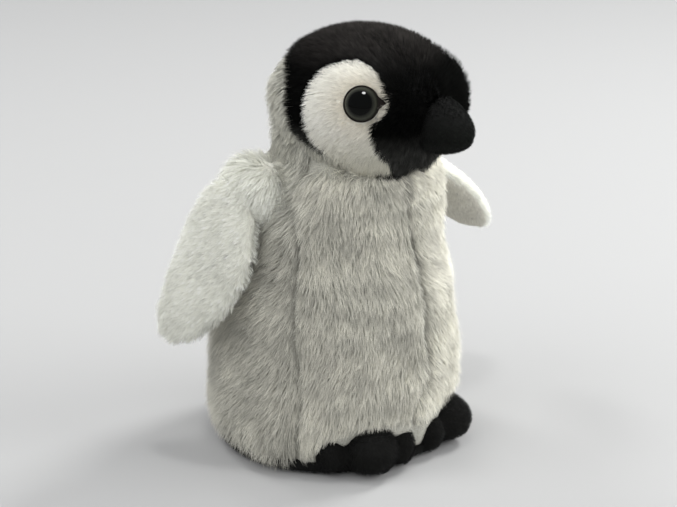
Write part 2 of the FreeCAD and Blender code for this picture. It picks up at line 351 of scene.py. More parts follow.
def cloth_material(name, colour, sheen, vary=0.2, scale=1400.0, rough=0.9, bump=0.35,
                   painted=False):
    """Knitted backing: fine noise in colour and bump; painted multiplies in the mesh's tint."""
    m, nt, bsdf, out = nodes_of(name)
    tex = nt.nodes.new("ShaderNodeTexCoord")
    noise = nt.nodes.new("ShaderNodeTexNoise")
    noise.inputs["Scale"].default_value = scale
    noise.inputs["Detail"].default_value = 4.0
    ramp = nt.nodes.new("ShaderNodeValToRGB")
    lo = [c * (1 - vary) for c in colour] + [1]
    hi = [min(1, c * (1 + vary)) for c in colour] + [1]
    ramp.color_ramp.elements[0].position, ramp.color_ramp.elements[0].color = 0.3, lo
    ramp.color_ramp.elements[1].position, ramp.color_ramp.elements[1].color = 0.7, hi
    b = nt.nodes.new("ShaderNodeBump")
    b.inputs["Strength"].default_value = bump
    b.inputs["Distance"].default_value = 0.0006
    nt.links.new(tex.outputs["Object"], noise.inputs["Vector"])
    nt.links.new(noise.outputs["Fac"], ramp.inputs["Fac"])
    if painted:
        att = nt.nodes.new("ShaderNodeAttribute")
        att.attribute_name = "tint"
        mul = nt.nodes.new("ShaderNodeVectorMath")
        mul.operation = "MULTIPLY"
        nt.links.new(att.outputs["Color"], mul.inputs[0])
        nt.links.new(ramp.outputs["Color"], mul.inputs[1])
        nt.links.new(mul.outputs["Vector"], bsdf.inputs["Base Color"])
    else:
        nt.links.new(ramp.outputs["Color"], bsdf.inputs["Base Color"])
    nt.links.new(noise.outputs["Fac"], b.inputs["Height"])
    nt.links.new(b.outputs["Normal"], bsdf.inputs["Normal"])
    bsdf.inputs["Roughness"].default_value = rough
    bsdf.inputs["Specular IOR Level"].default_value = 0.2
    bsdf.inputs["Sheen Weight"].default_value = sheen
    return m


def dress(o, material, body, replaced=(), bend=None):
    """Material, body and the hiding of the CAD parts it replaces; given bend=(other body, start, end) in mm
    for fabric across a joint, the piece is only fixed in world space instead of attached to body, and the
    bend's bodies and points are not used.
    """
    o.data.materials.clear()
    o.data.materials.append(material)
    if bend is None:
        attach(o, body)
    else:
        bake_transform(o)
    if replaced:
        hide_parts(*replaced)
    return o


FUR_BODY = fur_material("fur_body", rough=0.9, sheen=0.15, through=0.3, vary=0.08, shine=0.05)
FUR_LIGHT = fur_material("fur_light", rough=0.8, sheen=0.15, through=0.3, vary=0.06, shine=0.1)
FUR_DARK = fur_material("fur_dark", rough=0.6, sheen=0.0, through=0.0, vary=0.3, shine=0.03)
VELOUR = fur_material("velour_pile", rough=0.8, sheen=0.05, through=0.0, vary=0.3, shine=0.2)
SKIN_GREY = cloth_material("backing_grey", (0.36, 0.355, 0.31), sheen=0.1)
SKIN_WHITE = cloth_material("backing_white", (0.78, 0.77, 0.70), vary=0.08, sheen=0.1)
SKIN_BLACK = cloth_material("backing_black", (0.006, 0.006, 0.0055), sheen=0.0)
SKIN_HEAD = cloth_material("backing_head", (1.0, 1.0, 1.0), vary=0.08, sheen=0.0, painted=True)

# ------------------------------------------------------------------ torso
# height, radius and how far forward the middle leans
RINGS = [(0, 51.0, 0.0), (3, 56.5, 0.0), (9, 60.0, 0.0), (20, 61.5, 0.0), (40, 61.5, 0.0), (60, 60.5, 0.0),
         (75, 58.0, 0.5), (91, 54.0, 2.0), (108, 50.0, 5.0), (123, 47.5, 8.0), (136, 43.5, 11.0),
         (143, 39.5, 13.0), (148, 33.0, 14.5)]
PILE = 4.0              # mm between the fur's outline and the backing
BODY_STRAND = 8.6       # mm, length of the body's pile
SEAM_DEPTH, SEAM_WIDTH = 2.4, 3.2
BACK_SHARE = 0.64       # the back is a little thinner in pile than the front
# root, sweep back and lift of each flipper
POSE = {"left": (np.array([54.5, 9.0, 129.0]), -8.0, 48.0),
        "right": (np.array([-54.0, 13.0, 132.0]), 18.0, 15.0)}


def torso_radius(z):
    return smooth(z, [r[0] for r in RINGS], [r[1] for r in RINGS])


def torso_lean(z):
    return -smooth(z, [r[0] for r in RINGS], [r[2] for r in RINGS])


def torso_angle(p):
    """Degrees round from straight ahead, positive towards the chick's left (+X)."""
    return np.degrees(np.arctan2(p[:, 0], -(p[:, 1] - torso_lean(p[:, 2]))))


def front_seam(z):
    """The belly seam wanders: degrees off straight ahead at height z."""
    return smooth(z, [6, 29, 50, 73, 94, 123, 141], [-3, -4, 5, 5, 4, -4, -9])


def side_seam(z):
    return smooth(z, [6, 20, 45, 70, 95, 115, 137, 146], [67, 66, 62, 66, 70, 74, 86, 90])


def shoulder_white(p):
    """0..1: how near a point is to where a flipper is sewn on."""
    best = np.zeros(len(p))
    for side in ("left", "right"):
        root = POSE[side][0]
        d = (p - (root * [0.86, 1, 1] + np.array([0, -2.0, 4.0]))) / np.array([19.0, 22.0, 19.0])
        best = np.maximum(best, np.exp(-(d ** 2).sum(1)))
    return best


zs = np.array([0.8, 2, 4, 7, 11, 16, 24, 34, 46, 58, 70, 82, 94, 106, 118, 128, 136, 142, 146.5])
th = np.linspace(0, 2 * np.pi, 72, endpoint=False)
P = np.zeros((len(zs), len(th), 3))
for i, z in enumerate(zs):
    r = torso_radius(z) - PILE + (1.0 if z < 5 else 0)
    P[i, :, 0] = r * 1.02 * np.cos(th)
    P[i, :, 1] = torso_lean(z) + r * 0.98 * np.sin(th)
    P[i, :, 2] = z
torso = stuffed(grid_mesh("torso_pad", P), voxel=5.0, cap=1.8, keep_below=4.0)
p = coords(torso)
n = vertex_normals(torso)
ang = torso_angle(p)
rr = torso_radius(p[:, 2])
d_seam = np.minimum.reduce([
    np.abs(ang - front_seam(p[:, 2])), np.abs(np.abs(ang) - side_seam(p[:, 2])),
    180 - np.abs(ang)]) * np.pi / 180 * rr
side_wall = np.clip(1 - np.abs(n[:, 2]), 0, 1)
p -= n * (SEAM_DEPTH * np.exp(-(d_seam / SEAM_WIDTH) ** 2) * side_wall)[:, None]
set_coords(torso, p)
dress(torso, SKIN_GREY, "torso", ("torso_stuffing", "pellet_bag", "pellets"))

p, nrm = Skin(torso).scatter(2.6, 11)
ang = torso_angle(p)
z = p[:, 2]
fs, ss = front_seam(z), side_seam(z)
d_front = (ang - fs) * np.pi / 180 * torso_radius(z)
d_side = (np.abs(ang) - ss) * np.pi / 180 * torso_radius(z)
d_back = (180 - np.abs(ang)) * np.pi / 180 * torso_radius(z)
near_seam = np.minimum.reduce([np.abs(d_front), np.abs(d_side), d_back])
# the fur stops above the feet and above the dark base
over_feet = smooth(np.abs(ang), [0, 12, 30, 48, 60, 72], [20, 24, 25.5, 22, 12, 5])
keep = (z > over_feet) & ((d_side < 0) | (np.random.default_rng(10).uniform(size=len(p)) < BACK_SHARE))
p, nrm, ang, z, d_front, d_side, d_back, near_seam = (
    a[keep] for a in (p, nrm, ang, z, d_front, d_side, d_back, near_seam))


def comb_torso(p, ang, d_front, d_side):
    """Brushed down and a little outwards, swirling by small amounts."""
    a = np.radians(ang)
    around = np.stack([np.cos(a), np.sin(a), np.zeros_like(a)], 1)       # towards growing angle
    down = np.tile([0.0, 0.0, -1.0], (len(p), 1))
    sidewise = 0.18 * np.sign(ang) + 0.30 * waves(p, 16, 3) + 0.22 * waves(p, 7, 4)
    # hair turns away from each seam
    sidewise += 0.55 * np.sign(d_front) * np.exp(-np.abs(d_front) / 5)
    sidewise += np.where(d_side > 0, 0.35, -0.1) * np.sign(ang) * np.exp(-np.abs(d_side) / 9)
    sidewise += np.where(np.abs(ang) > 80, 0.25 * np.sign(ang), 0)
    return down + around * sidewise[:, None]


comb = comb_torso(p, ang, d_front, d_side)
length = BODY_STRAND * (1 - 0.35 * np.exp(-near_seam / 2.2)) * (1 + 0.14 * waves(p, 12, 5))
length = np.where(z < over_feet[keep] + 5, length * 0.6, length)
lift = 30 - 14 * np.exp(-near_seam / 3.0) + 8 * waves(p, 9, 6)
white = shoulder_white(p)
length = length * (1 + 0.25 * white)
lift = np.where(white > 0.3, 40, lift)


def grey_fur(p, t, shade, clump):
    root = np.array([0.34, 0.335, 0.29])
    tip = np.array([0.74, 0.725, 0.64])
    mix = t ** 0.75
    c = root * (1 - mix) + tip * mix
    ang = torso_angle(p)
    d = np.abs(ang - front_seam(p[:, 2])) * np.pi / 180 * torso_radius(p[:, 2])
    e = np.abs(np.abs(ang) - side_seam(p[:, 2])) * np.pi / 180 * torso_radius(p[:, 2])
    # painted shade: the pile is darkened along the front and side seams, where shade falls in their creases
    seam_shade = 1 - 0.55 * np.exp(-(d / 1.6) ** 2) - 0.4 * np.exp(-(e / 1.6) ** 2)
    # painted light and shade: soft horizontal bands that stand for the shading of the belly's gathers
    gather_shade = 0.07 * np.sin(p[:, 2] / 2.3 + 2.2 * waves(p, 14, 9))
    v = (1 + 0.05 * shade + 0.08 * clump + 0.12 * waves(p, 8, 8) + gather_shade) * seam_shade
    # the back panels are a shade darker, the chick's left front a shade lighter, and so is the hem; the left
    # front's extra lightness is painted light, where the side lamps fall on it
    front = np.where(ang > front_seam(p[:, 2]), 1.14, 1.0)
    v = v * np.where(np.abs(ang) > side_seam(p[:, 2]), 0.88, front)
    v = v * (1 + 0.12 * np.clip((70 - p[:, 2]) / 50, 0, 1))
    w = shoulder_white(p)[:, None]
    white = np.array([0.60, 0.60, 0.53]) * (1 - mix) + np.array([0.88, 0.88, 0.80]) * mix
    return (c[None] * (1 - w) + white[None] * w) * np.clip(v, 0.35, 1.5)[:, None]


panels = {
    "front_fur_left": ((ang - front_seam(z) > 0) & (np.abs(ang) < side_seam(z)), "front_panel_left"),
    "front_fur_right": ((ang - front_seam(z) <= 0) & (np.abs(ang) < side_seam(z)), "front_panel_right"),
    "back_fur_left": ((ang > 0) & (np.abs(ang) >= side_seam(z)), "back_panel_left"),
    "back_fur_right": ((ang <= 0) & (np.abs(ang) >= side_seam(z)), "back_panel_right"),
}
for i, (name, (m, node)) in enumerate(panels.items()):
    o = grow(name, p[m], nrm[m], comb[m], length[m], 0.25, lift[m], 100 + i, grey_fur,
             clump=0.32, clump_size=12, wave=1.2)
    dress(o, FUR_BODY, "torso", (node,))

# dark base: velour disc with a short rim
base = grid_mesh("base_pad", np.stack([
    np.stack([(torso_radius(z) + d) * 1.02 * np.cos(th), (torso_radius(z) + d) * 0.98 * np.sin(th),
              np.full(len(th), float(h))], 1)
    for z, d, h in ((0, -3, 0.3), (3, -2.6, 1.6), (5, -2.6, 4.0), (7, -3.2, 6.5), (8, -7, 7.5))]))
dress(base, SKIN_BLACK, "torso", ("base_panel",))
bp, bn = Skin(base).scatter(1.6, 12)
m = bn[:, 2] > -0.9
bp, bn = bp[m], bn[m]


def black_fur(p, t, shade, clump):
    c = np.array([0.0022, 0.0022, 0.0020]) * (1 - t) + np.array([0.0095, 0.0098, 0.0085]) * t
    v = 1 + 0.25 * shade + 0.2 * clump
    return c[None] * np.clip(v, 0.4, 2.0)[:, None]


o = grow("base_nap", bp, bn, np.tile([0.0, 0, -1], (len(bp), 1)), 1.8, 0.3, 45, 130, black_fur,
         clump=0.2, segments=2)
dress(o, VELOUR, "torso")

# ------------------------------------------------------------------ feet
# toes: degrees off straight ahead, distance, half width, half height
TOES = [(11.5, 48.5, 9.0, 11.0), (29.0, 50.0, 14.0, 13.0), (49.0, 47.0, 10.4, 12.0)]
# the ball of the foot: degrees, distance, half length, half width, half height
PAD = (29.0, 38.0, 18.0, 16.5, 10.5)
TOE_LENGTH = 1.35       # length of a toe over its width
FOOT_FLAT = 0.9         # mm the foot is pressed into its flat sole


def blob(centre, half, yaw, n=20):
    ph = np.linspace(-np.pi / 2, np.pi / 2, n + 2)[1:-1]
    t = np.linspace(0, 2 * np.pi, 2 * n, endpoint=False)
    q = np.stack([half[0] * np.cos(ph)[:, None] * np.cos(t), half[1] * np.cos(ph)[:, None] * np.sin(t),
                  half[2] * np.sin(ph)[:, None] + 0 * t], -1)
    return q @ turn((0, 0, 1), yaw).T + np.array(centre)


def foot(sign, side):
    parts = []
    a = math.radians(PAD[0])
    parts.append(grid_mesh("blob", blob((sign * PAD[1] * math.sin(a), -PAD[1] * math.cos(a), PAD[4]),
                                        (PAD[3], PAD[2], PAD[4] - 0.6), sign * PAD[0])))
    for angle, r, w, h in TOES:
        a = math.radians(angle)
        parts.append(grid_mesh("blob", blob((sign * r * math.sin(a), -r * math.cos(a), h),
                                            (w - 0.6, w * TOE_LENGTH - 0.6, h - 0.5), sign * angle)))
    bpy.ops.object.select_all(action="DESELECT")
    for q in parts:
        q.select_set(True)
    bpy.context.view_layer.objects.active = parts[0]
    bpy.ops.object.join()
    o = parts[0]
    o.name = "foot_pad_" + side
    stuffed(o, voxel=1.6, cap=0.6, pressure=2.0)
    q = coords(o)
    q[:, 2] = np.maximum(q[:, 2] - FOOT_FLAT, 0.25)
    set_coords(o, q)
    dress(o, SKIN_BLACK, "torso",
          tuple(n + side for n in ("foot_upper_", "foot_sole_", "foot_stuffing_")))
    fp, fn = Skin(o).scatter(5.0, 20)
    m = (fn[:, 2] > -0.85) & (fp[:, 1] < -20)
    fp, fn = fp[m], fn[m]
    comb = np.stack([sign * 0.3 * np.ones(len(fp)), -np.ones(len(fp)), -0.8 * np.ones(len(fp))], 1)
    nap = grow("foot_nap_" + side, fp, fn, comb, 1.9, 0.26, 50, 21, black_fur,
               clump=0.25, segments=2, clump_size=9)
    dress(nap, VELOUR, "torso")


foot(1, "left")
foot(-1, "right")

# ------------------------------------------------------------------ head
HC = np.array([0, -21.5, 174.3])        # middle of the head and its half sizes
HR = np.array([42.5, 49.5, 34.5])
HEAD_PILE = 3.5
# outline of the white cheek, in the degrees that head_angles gives
CHEEK = [(93, 4), (92, 25), (86, 43), (75, 50), (60, 52), (49, 47), (42, 40), (40, 31), (37, 17),
         (40, 8), (48, 1), (49, -7), (47, -16), (42, -28), (31, -42), (22, -50), (30, -57),
         (45, -54), (62, -46), (75, -37), (88, -24), (92, -7)]


def head_angles(p):
    """Degrees from the beak (by side) and above the middle, on the unit ball of the head."""
    q = (p - HC) / HR
    q = unit(q)
    return np.degrees(np.arctan2(q[:, 0], -q[:, 1])), np.degrees(np.arcsin(np.clip(q[:, 2], -1, 1)))


def inside(x, y, outline):
    """Even-odd test of points against a closed outline, and the distance to it."""
    hit = np.zeros(len(x), bool)
    best = np.full(len(x), 1e9)
    k = len(outline)
    for i in range(k):
        x0, y0 = outline[i]
        x1, y1 = outline[(i + 1) % k]
        cond = ((y0 > y) != (y1 > y)) & (x < (x1 - x0) * (y - y0) / (y1 - y0 + 1e-12) + x0)
        hit ^= cond
        along = (x - x0) * (x1 - x0) + (y - y0) * (y1 - y0)
        t = np.clip(along / ((x1 - x0) ** 2 + (y1 - y0) ** 2), 0, 1)
        best = np.minimum(best, np.hypot(x - x0 - t * (x1 - x0), y - y0 - t * (y1 - y0)))
    return hit, best


ph = np.radians(np.linspace(-56, 89, 30))
half = HR - HEAD_PILE
P = np.stack([half[0] * np.cos(ph)[:, None] * np.cos(th), half[1] * np.cos(ph)[:, None] * np.sin(th),
              half[2] * np.sin(ph)[:, None] + 0 * th], -1) + HC
head = stuffed(grid_mesh("head_pad", P), voxel=4.0, cap=1.2)
p = coords(head)
n = vertex_normals(head)
# eye sockets: the pile is pressed in round each eye
EYE_AZ, EYE_Z = 57.0, 10.0      # degrees from the beak, mm above the middle of the head
EYE_CLEAR = 8.0                 # mm round the middle of an eye without pile
s = EYE_Z / HR[2]
k = math.sqrt(1 - s * s)
eye_az = math.radians(EYE_AZ)
eye_local = np.array([HR[0] * k * math.sin(eye_az), -HR[1] * k * math.cos(eye_az), EYE_Z])
eye_n = unit((eye_local / HR ** 2)[None])[0]
eyes = {side: (HC + eye_local * [sg, 1, 1], eye_n * [sg, 1, 1])
        for side, sg in (("left", 1), ("right", -1))}
for e, en in eyes.values():
    d = np.linalg.norm(np.cross(p - e, en), axis=1)
    front = ((p - HC) @ en) > 0
    p -= n * (1.6 * np.exp(-(d / 9.5) ** 4) * front)[:, None]
set_coords(head, p)


def nape_edge(el):
    """Degrees from the beak at which the hood gives way to the nape."""
    return smooth(el, [-60, -45, -33, -24, -16, 0, 20, 30, 38, 46, 89],
                  [42, 62, 80, 93, 104, 106, 112, 126, 150, 181, 181])


def paint(o, colour):
    """Store one colour per vertex for a painted backing."""
    att = o.data.attributes.new("tint", "FLOAT_COLOR", "POINT")
    att.data.foreach_set("color", np.concatenate([colour, np.ones((len(colour), 1))], 1).ravel())


az, el = head_angles(p)
on_cheek, edge = inside(np.abs(az), el, CHEEK)
on_nape = np.abs(az) > nape_edge(el)
tone = np.where(on_nape[:, None], np.array([0.36, 0.355, 0.31]), np.array([0.004, 0.004, 0.0036]))
tone = np.where(on_cheek[:, None], np.array([0.72, 0.70, 0.62]), tone)
tone = np.where((on_cheek & (edge < 2.0))[:, None], np.array([0.10, 0.098, 0.088]), tone)
paint(head, tone)
dress(head, SKIN_HEAD, "head", ("head_stuffing",))

p, nrm = Skin(head).scatter(6.2, 31)
az, el = head_angles(p)
cheek, edge = inside(np.abs(az), el, CHEEK)
nape = (np.abs(az) > nape_edge(el)) & ~cheek
chin = (el < -32) & ~cheek & ~nape
hood = ~cheek & ~nape & ~chin
d_eye = np.minimum.reduce([np.linalg.norm(np.cross(p - e, en), axis=1) + 100 * (((p - HC) @ en) < 0)
                           for e, en in eyes.values()])
# no pile under an eye, under the beak's root or inside the neck
beak_d = np.hypot(p[:, 0] / 12.0, (p[:, 2] - (HC[2] - 4.2)) / 12.6)
off_beak = ~((beak_d < 1) & (p[:, 1] < HC[1] - 20))
ok = (d_eye > EYE_CLEAR) & (p[:, 2] > 148.2) & off_beak

# hood: brushed back over the crown; cheeks: brushed back from the beak and round the eye
comb_hood = np.stack([0.25 * np.sign(p[:, 0]), np.ones(len(p)), -0.35 * np.ones(len(p))], 1)
low = np.clip((-25 - el) / 15, 0, 1)
comb_cheek = np.stack([0.25 * np.sign(p[:, 0]), 0.9 * (1 - low), -0.55 - 0.6 * low], 1)
lean_in = np.zeros(len(p), bool)             # pile that lies in over the edge of an eye backing
eye_forward = eye_n[1]
for e, en in eyes.values():
    away = unit(p - e)
    far = np.linalg.norm(p - e, axis=1)
    w = np.exp(-(far / 12.0) ** 2)[:, None]
    corner = ((p - e) @ unit(np.array([0, -1.0, 0]) + eye_forward * en)) / far > 0.85
    over_rim = (far < 9.6) | (corner & (far < 14.5))
    comb_cheek = comb_cheek * (1 - w) + away * w
    comb_cheek = np.where(over_rim[:, None], -away, comb_cheek)
    lean_in |= over_rim
comb_nape = np.stack([0.15 * np.sign(p[:, 0]), 0.3 + 0 * p[:, 0], -1 + 0 * p[:, 0]], 1)
swirl = waves(p, 9, 41)[:, None] * 0.35


def swirled(c):
    return c + np.cross(nrm, unit(c)) * swirl


def white_fur(p, t, shade, clump):
    c = np.array([0.76, 0.75, 0.68]) * (1 - t) + np.array([0.96, 0.95, 0.89]) * t
    # painted shade: warmer and darker round the eye, in the shade of its hollow, and grey towards the edge
    # under the chin, where the head shades it
    d = np.minimum.reduce([np.linalg.norm(p - e, axis=1) for e, _ in eyes.values()])
    w = np.exp(-((d / 12.0) ** 2))[:, None]
    v = np.clip(1 + 0.05 * shade + 0.04 * clump, 0.6, 1.4)[:, None]
    low = np.clip((172 - p[:, 2]) / 18, 0, 1)[:, None]
    eye_hollow_shade, under_chin_shade = np.array([0.30, 0.38, 0.50]), np.array([0.17, 0.18, 0.24])
    return c[None] * v * (1 - w * eye_hollow_shade) * (1 - low * under_chin_shade)


def nape_fur(p, t, shade, clump):
    c = np.array([0.24, 0.238, 0.205]) * (1 - t) + np.array([0.74, 0.73, 0.645]) * t
    return c[None] * np.clip(1 + 0.1 * shade + 0.1 * clump, 0.5, 1.5)[:, None]


def hood_fur(p, t, shade, clump):
    up = np.clip((p[:, 2] - 192) / 10, 0, 1)[:, None]          # a little browner and lighter over the crown: partly the pile's own brown, partly a painted sheen from above
    low = np.clip((171 - p[:, 2]) / 10, 0, 1)[:, None]
    black, chin_grey = np.array([0.0021, 0.0022, 0.0019]), np.array([0.040, 0.040, 0.037])
    face = black[None] * (1 - low) + chin_grey[None] * low
    c = face * 0.4 * (1 - t) + (face * (1 - up) + np.array([0.023, 0.021, 0.019])[None] * up) * t
    return c * np.clip(1 + 0.22 * shade + 0.25 * clump, 0.4, 2.2)[:, None]


def tuft(name, m, comb, length, width, lift, seed, colour, mat, slot, nodes, **kw):
    """Pile of one head panel, rooted at the points that mask m picks."""
    o = grow(name, p[m], nrm[m], comb[m], length[m], width, lift, seed, colour, **kw)
    return dress(o, mat, "head", nodes)


# a heavier tuft over each eye
brow = np.exp(-((np.abs(az) - 34) / 12) ** 2 - ((el - 22) / 22) ** 2)
tuft("hood_fur", hood & ok, swirled(comb_hood), 5.4 + 3.0 * brow, 0.26, 52, 201, hood_fur,
     FUR_DARK, "fur_black", ("hood_panel",), clump=0.5, clump_size=12, segments=2, wave=0.3)
comb_chin = np.stack([0.3 * np.sign(p[:, 0]), -0.3 + 0 * el, -1 + 0 * el], 1)
comb_hood = np.where((el < -30)[:, None], comb_chin, comb_hood)
hang = np.clip(-28 - el, 0, 20) * 0.32          # the lower edge hangs over the neck
tuft("chin_fur", chin & ok, swirled(comb_hood), 4.8 + hang, 0.30, 40, 202, hood_fur,
     FUR_DARK, "fur_black", ("chin_panel",), clump=0.4, clump_size=12, segments=2, wave=0.3)
for side, sg in (("left", 1), ("right", -1)):
    ours = np.sign(p[:, 0]) == sg
    L = np.clip(2.2 + 0.25 * (d_eye - EYE_CLEAR), 2.2, 4.6) + hang + 1.4 * lean_in
    L = L * (1 - 0.5 * np.clip((el - 38) / 8, 0, 1))        # flatter under the brow
    tuft("cheek_fur_" + side, cheek & ok & ours, swirled(comb_cheek), L, 0.30, 40, 210 + sg,
         white_fur, FUR_LIGHT, "fur_white", ("cheek_patch_" + side,),
         clump=0.35, clump_size=9, segments=2, wave=0.3)
    thin = np.random.default_rng(7).uniform(size=len(p)) < 0.4
    L = 8.0 - 4.5 * np.clip((el - 12) / 22, 0, 1)           # shorter where it meets the crown
    tuft("nape_fur_" + side, nape & ok & ours & thin, swirled(comb_nape), L, 0.34, 34, 220 + sg,
         nape_fur, FUR_BODY, "fur_nape", ("nape_panel_" + side,), clump=0.55, clump_size=12, wave=0.5)

# ------------------------------------------------------------------ neck
# pile that runs from the body on to the head; sections: height, radius, y of the middle
NECK = [(132, 40.5, -11.0), (138, 39.0, -12.0), (143, 36.5, -12.0), (147, 33.0, -10.0), (152, 32.0, -9.0),
        (158, 32.0, -9.0), (163, 33.0, -10.0)]
P = np.zeros((len(NECK), len(th), 3))
for i, (z0, r0, y0) in enumerate(NECK):
    P[i, :, 0] = r0 * np.cos(th)
    P[i, :, 1] = y0 + r0 * np.sin(th)
    P[i, :, 2] = z0
neck = stuffed(grid_mesh("neck_pad", P), voxel=4.0, cap=1.0)
ACROSS_NECK = ("head", (0, -14, 143), (0, -14, 158))
q, qn = Skin(neck).scatter(3.0, 35)
behind = np.abs(np.degrees(np.arctan2(q[:, 0], -(q[:, 1] + 14)))) > 88
m = (np.abs(qn[:, 2]) < 0.8) & (q[:, 2] < np.where(behind, 162, 145))
q, qn = q[m], qn[m]


def neck_tone(p):
    """0 in front (belly grey), 1 behind (the paler nape)."""
    a = np.degrees(np.arctan2(p[:, 0], -(p[:, 1] + 14)))
    return np.clip((np.abs(a) - 75) / 20, 0, 1)[:, None]


def neck_fur(p, t, shade, clump):
    w = neck_tone(p)
    return grey_fur(p, t, shade, clump) * (1 - w) + nape_fur(p, t, shade, clump) * w


dress(neck, SKIN_GREY, "torso", (), bend=ACROSS_NECK)
comb = np.stack([0.25 * q[:, 0] / 40, 0.15 + 0 * q[:, 0], -1 + 0 * q[:, 0]], 1)
comb += np.cross(qn, comb) * (0.25 * waves(q, 9, 36))[:, None]
o = grow("neck_fur", q, qn, comb, 8.5, 0.30, 30 + 6 * waves(q, 8, 37), 225, neck_fur,
         clump=0.5, clump_size=11, wave=0.6)
dress(o, FUR_BODY, "torso", (), bend=ACROSS_NECK)

# ------------------------------------------------------------------ beak
# sections, from the middle of the head: y, half width, half height, z
BEAK = [(-38, 13.6, 14.4, -4.0), (-44, 13.0, 13.8, -4.0), (-47, 12.4, 13.2, -4.2), (-53.5, 10.0, 10.8, -4.8),
        (-58, 7.4, 8.0, -5.3), (-60.8, 4.6, 5.0, -5.7), (-62, 1.4, 1.4, -5.8)]
t = np.linspace(0, 2 * np.pi, 40, endpoint=False)
yy = -38 - 24 * np.sin(np.linspace(0, np.pi / 2, 26))
A, B, Z = (smooth(-yy, [-b[0] for b in BEAK], [b[i] for b in BEAK]) for i in (1, 2, 3))
P = np.zeros((len(yy), len(t), 3))
for i in range(len(yy)):
    a, b = A[i] - 0.9, B[i] - 0.9
    ridge = 1 + 0.05 * np.maximum(np.sin(t), 0) ** 8        # crest along the top
    P[i, :, 0] = a * np.cos(t) * (1 - 0.06 * np.abs(np.sin(t)) ** 4)
    P[i, :, 1] = HC[1] + yy[i]
    P[i, :, 2] = HC[2] + Z[i] + b * np.sin(t) * ridge
    mouth = np.exp(-((P[i, :, 2] - (HC[2] - 8.6 + 0.07 * (-yy[i] - 44))) / 0.9) ** 2)
    P[i, :, 0] -= 0.9 * np.sign(np.cos(t)) * mouth
beak = grid_mesh("beak_pad", P)
for q in beak.data.polygons:
    q.use_smooth = True
dress(beak, SKIN_BLACK, "head", ("beak_upper", "beak_lower", "beak_stuffing"))
kp, kn = Skin(beak).scatter(9.0, 51)
m = kp[:, 1] < HC[1] - 40
kp, kn = kp[m], kn[m]


def beak_fur(p, t, shade, clump):
    return black_fur(p, t, shade, clump) * np.array([0.95, 1.15, 1.0])


o = grow("beak_nap", kp, kn, np.tile([0.0, -0.5, -0.4], (len(kp), 1)), 1.5, 0.24, 55, 52, beak_fur,
         clump=0.35, segments=2, clump_size=14, wave=0.2)
dress(o, VELOUR, "head")

# ------------------------------------------------------------------ flippers
# along the blade, half width, half thickness
FLIP = [(-8, 6.0, 2.2), (-5, 10.5, 4.6), (0, 14.5, 6.4), (12, 20.0, 7.2), (28, 22.8, 7.4), (46, 21.5, 6.8),
        (62, 17.6, 5.8), (74, 12.2, 4.4), (80, 6.0, 2.2)]
SPAN = 80
FLIPPER_PILE = 1.6      # mm between the fur's outline and the backing


def flipper_white(p, t, shade, clump):
    c = np.array([0.76, 0.765, 0.69]) * (1 - t) + np.array([0.95, 0.955, 0.885]) * t
    return c[None] * np.clip(1 + 0.07 * shade + 0.07 * clump + 0.05 * waves(p, 8, 61), 0.6, 1.4)[:, None]


def flipper_inner(p, t, shade, clump):
    c = np.array([0.68, 0.66, 0.60]) * (1 - t) + np.array([0.93, 0.91, 0.84]) * t
    return c[None] * np.clip(1 + 0.07 * shade + 0.06 * clump, 0.6, 1.4)[:, None]


def shoulder_fur(p, t, shade, clump):
    """White at the flipper, turning to the body's grey on the shoulder."""
    w = np.clip((np.abs(p[:, 0]) - np.where(p[:, 0] > 0, 43, 37)) / 9, 0, 1)[:, None]
    return flipper_white(p, t, shade, clump) * w + grey_fur(p, t, shade, clump) * (1 - w)


